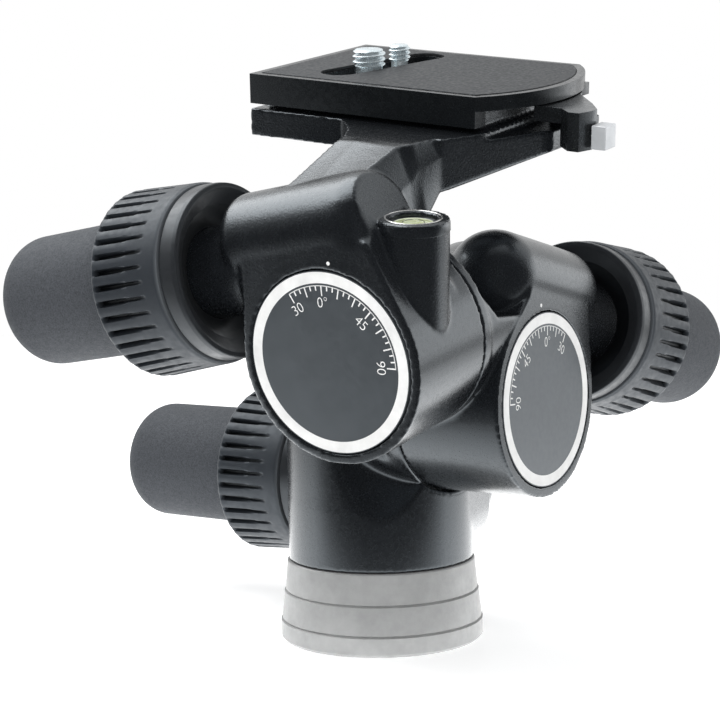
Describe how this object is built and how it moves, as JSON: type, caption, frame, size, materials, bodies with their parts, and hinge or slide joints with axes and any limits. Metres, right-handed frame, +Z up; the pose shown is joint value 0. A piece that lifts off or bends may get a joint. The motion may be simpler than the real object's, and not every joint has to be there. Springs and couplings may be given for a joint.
{
  "type": "geared tripod head",
  "caption": "Geared tripod head: silver foot, panning body, two geared tilting bodies with long knobs and release collars, and a quick release camera plate.",
  "frame": {"origin": "centre of the foot's underside, at the mouth of the tripod thread", "axes": "+Z up along the pan axis; +X along the lower tilt axis, towards its dial; +Y away from the upper dial's face"},
  "size_m": [0.1888, 0.1971, 0.1772],
  "materials": {
    "casting_black": "satin powder coat with a fine grain",
    "foot_silver": "fine blasted, clear anodised",
    "steel": "machined",
    "brass": "machined",
    "dial_grey": "satin anodised with white printing",
    "sleeve_grey": "satin anodised",
    "grip_rubber": "matte, ribbed",
    "cap_grey": "fine grain",
    "vial": "clear with tinted fluid",
    "plate_black": "black anodised, bright edge",
    "pad_rubber": "fine textured",
    "lever_black": "satin",
    "catch_silver": "satin",
    "screw_zinc": "bright zinc"
  },
  "bodies": {
    "foot": {"foot": "foot_silver", "tripod_thread_bush": "brass", "pan_worm_wheel": "brass"},
    "pan_body": {"pan_housing": "casting_black", "pan_worm_bush_rear": "brass", "pan_worm_bush_front": "brass", "tilt_shaft": "steel", "tilt_worm_wheel": "brass", "tilt_dial": "dial_grey"},
    "tilt_body": {"tilt_housing": "casting_black", "tilt_worm_bush_rear": "brass", "tilt_worm_bush_front": "brass", "roll_shaft": "steel", "roll_worm_wheel": "brass", "roll_dial": "dial_grey"},
    "roll_body": {"roll_housing": "casting_black", "roll_worm_bush_rear": "brass", "roll_worm_bush_front": "brass", "level_vial": "vial", "lever_pivot": "steel"},
    "pan_knob": {"pan_worm_shaft": "steel", "pan_knob_cap": "cap_grey"},
    "pan_collar": {"pan_collar_sleeve": "sleeve_grey", "pan_collar_grip": "grip_rubber"},
    "tilt_knob": {"tilt_worm_shaft": "steel", "tilt_knob_cap": "cap_grey"},
    "tilt_collar": {"tilt_collar_sleeve": "sleeve_grey", "tilt_collar_grip": "grip_rubber"},
    "roll_knob": {"roll_worm_shaft": "steel", "roll_knob_cap": "cap_grey"},
    "roll_collar": {"roll_collar_sleeve": "sleeve_grey", "roll_collar_grip": "grip_rubber"},
    "lock_lever": {"lock_lever": "lever_black", "catch_pin": "steel"},
    "safety_catch": {"safety_catch": "catch_silver"},
    "plate": {"quick_plate": "plate_black", "plate_pad": "pad_rubber"},
    "large_camera_screw": {"large_camera_screw": "screw_zinc"},
    "small_camera_screw": {"small_camera_screw": "screw_zinc"}
  },
  "joints": [
    {"name": "pan_turn", "type": "hinge", "parent": "foot", "child": "pan_body", "pos_m": [0, 0, 0.0236], "axis": [0, 0, 1], "continuous": true},
    {"name": "lower_tilt", "type": "hinge", "parent": "pan_body", "child": "tilt_body", "pos_m": [0, 0, 0.0731], "axis": [1, 0, 0], "range_deg": [-41, 49]},
    {"name": "upper_tilt", "type": "hinge", "parent": "tilt_body", "child": "roll_body", "pos_m": [0.0293, -0.00515, 0.0996], "axis": [0, 0.9816, 0.1908], "range_deg": [-37.9, 82.1]},
    {"name": "pan_knob_turn", "type": "hinge", "parent": "pan_body", "child": "pan_knob", "pos_m": [0, 0.0261, 0.0423], "axis": [-1, 0, 0], "continuous": true},
    {"name": "pan_collar_twist", "type": "hinge", "parent": "pan_body", "child": "pan_collar", "pos_m": [0, 0.0261, 0.0423], "axis": [-1, 0, 0], "range_deg": [0, 45], "stiffness_Nm_per_rad": 0.1, "springref_deg": -5.73},
    {"name": "tilt_knob_turn", "type": "hinge", "parent": "tilt_body", "child": "tilt_knob", "pos_m": [0.0433, 0.00498, 0.09872], "axis": [0, 0.9816, -0.1908], "continuous": true},
    {"name": "tilt_collar_twist", "type": "hinge", "parent": "tilt_body", "child": "tilt_collar", "pos_m": [0.0433, 0.00498, 0.09872], "axis": [0, 0.9816, -0.1908], "range_deg": [0, 45], "stiffness_Nm_per_rad": 0.1, "springref_deg": -5.73},
    {"name": "roll_knob_turn", "type": "hinge", "parent": "roll_body", "child": "roll_knob", "pos_m": [0.02562, -0.05759, 0.11573], "axis": [-0.99, 0.0269, -0.1383], "continuous": true},
    {"name": "roll_collar_twist", "type": "hinge", "parent": "roll_body", "child": "roll_collar", "pos_m": [0.02562, -0.05759, 0.11573], "axis": [-0.99, 0.0269, -0.1383], "range_deg": [0, 45], "stiffness_Nm_per_rad": 0.1, "springref_deg": -5.73},
    {"name": "lever_turn", "type": "hinge", "parent": "roll_body", "child": "lock_lever", "pos_m": [0.05486, 0.01511, 0.15259], "axis": [0.1374, -0.189, 0.9723], "range_deg": [0, 80]},
    {"name": "catch_turn", "type": "hinge", "parent": "lock_lever", "child": "safety_catch", "pos_m": [0.07373, -0.00302, 0.14526], "axis": [0.9905, 0.0262, -0.1349], "range_deg": [0, 20], "stiffness_Nm_per_rad": 0.005, "springref_deg": -11.46},
    {"name": "plate_lift", "type": "slide", "parent": "roll_body", "child": "plate", "axis": [0.1374, -0.189, 0.9723], "range_m": [0, 0.025]},
    {"name": "large_screw_turn", "type": "hinge", "parent": "plate", "child": "large_camera_screw", "pos_m": [-0.00011, -0.00171, 0.16737], "axis": [0.1374, -0.189, 0.9723], "continuous": true},
    {"name": "small_screw_turn", "type": "hinge", "parent": "plate", "child": "small_camera_screw", "pos_m": [0.00231, 0.01069, 0.16944], "axis": [0.1374, -0.189, 0.9723], "continuous": true}
  ],
  "couplings": [
    {"joint": "pan_knob_turn", "follows": "pan_turn", "ratio": 48},
    {"joint": "tilt_knob_turn", "follows": "lower_tilt", "ratio": 48},
    {"joint": "roll_knob_turn", "follows": "upper_tilt", "ratio": 48}
  ]
}
